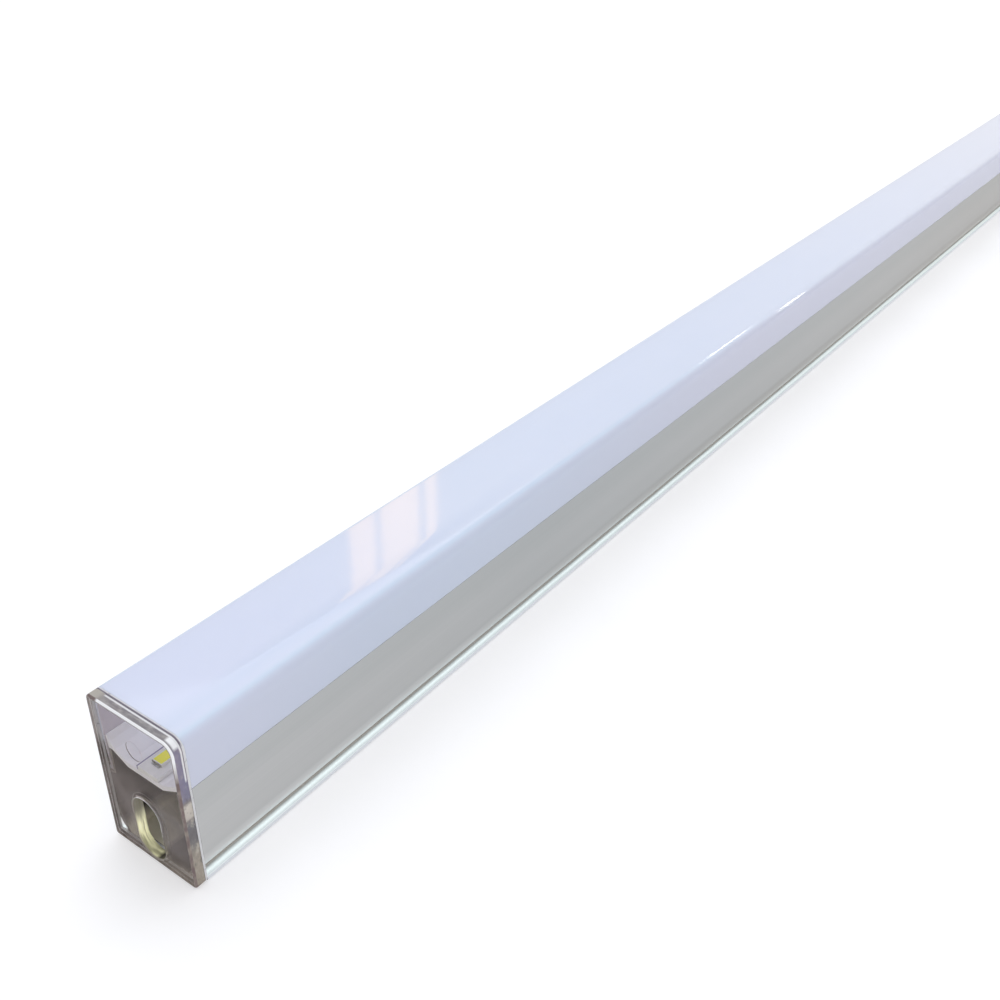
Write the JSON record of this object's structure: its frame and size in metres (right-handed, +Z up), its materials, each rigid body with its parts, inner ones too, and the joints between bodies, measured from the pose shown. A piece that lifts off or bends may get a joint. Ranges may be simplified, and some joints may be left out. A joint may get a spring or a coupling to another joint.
{
  "type": "linear led light tube",
  "caption": "Slim straight LED light tube: satin aluminium channel under a milky square-topped cover, closed by clear end caps with a cable slot, with a lead at the far end.",
  "frame": {"origin": "middle of the base face (the two ledge undersides), half way along the tube", "axes": "+Z up from the base to the milky cover; +Y along the tube from the cap with the open slot to the cap with the supply lead; +X across"},
  "size_m": [0.0274, 1.3983, 0.0383],
  "materials": {
    "anodised_aluminium": "satin anodised",
    "milky_cover": "glossy milky white",
    "clear_plastic": "clear moulded polycarbonate",
    "gasket_silicone": "translucent silicone",
    "white_reflector": "matte white",
    "board_white": "white solder resist",
    "tape": "grey thermal tape",
    "led_body": "white moulded package",
    "phosphor": "yellow phosphor silicone",
    "solder": "tin solder",
    "chip_black": "black epoxy",
    "board_green": "green circuit board",
    "sleeve_film": "white insulating film",
    "terminal_plastic": "green moulded plastic",
    "bright_steel": "plated",
    "fuse_glass": "glass tube",
    "varistor_blue": "dipped epoxy",
    "ferrite": "sintered ferrite",
    "copper_wire": "enamelled copper wire",
    "capacitor_yellow": "moulded case",
    "capacitor_sleeve": "shrunk sleeve",
    "winding_tape": "yellow winding tape",
    "grommet_rubber": "black rubber",
    "lead_sheath": "white flexible sheath",
    "core_brown": "brown core",
    "core_blue": "blue core",
    "tinned_copper": "tinned strands",
    "tie_nylon": "natural nylon",
    "wire_red": "red insulation",
    "wire_black": "black insulation"
  },
  "bodies": {
    "housing": {"housing_profile": "anodised_aluminium", "end_cap_far": "clear_plastic", "end_gasket_far": "gasket_silicone", "reflector_tray": "white_reflector", "led_board_near": "board_white", "led_board_far": "board_white", "board_tape": "tape", "led_packages": "led_body", "led_phosphor": "phosphor", "led_solder_near": "solder", "led_solder_far": "solder", "board_resistors": "chip_black", "board_jumpers": "solder", "driver_board": "board_green", "driver_sleeve": "sleeve_film", "driver_terminal": "terminal_plastic", "terminal_screws": "bright_steel", "driver_fuse": "fuse_glass", "driver_fuse_caps": "bright_steel", "driver_varistor": "varistor_blue", "driver_choke_core": "ferrite", "driver_choke_winding": "copper_wire", "driver_film_capacitor": "capacitor_yellow", "driver_rectifier": "chip_black", "driver_bulk_capacitors": "capacitor_sleeve", "driver_controller": "chip_black", "driver_transformer_core": "ferrite", "driver_transformer_winding": "winding_tape", "driver_output_capacitor": "capacitor_sleeve", "cable_grommet": "grommet_rubber", "supply_lead_sheath": "lead_sheath", "lead_core_line": "core_brown", "lead_core_neutral": "core_blue", "lead_core_tips": "tinned_copper", "strain_relief_tie": "tie_nylon", "output_wire_positive": "wire_red", "output_wire_negative": "wire_black"},
    "cover": {"diffuser_cover": "milky_cover"},
    "near_cap": {"end_cap_near": "clear_plastic", "end_gasket_near": "gasket_silicone"}
  },
  "joints": [
    {"name": "cover_slide", "type": "slide", "parent": "housing", "child": "cover", "axis": [0, -1, 0], "range_m": [0, 1]},
    {"name": "near_cap_pull", "type": "slide", "parent": "cover", "child": "near_cap", "axis": [0, -1, 0], "range_m": [0, 0.03]}
  ]
}
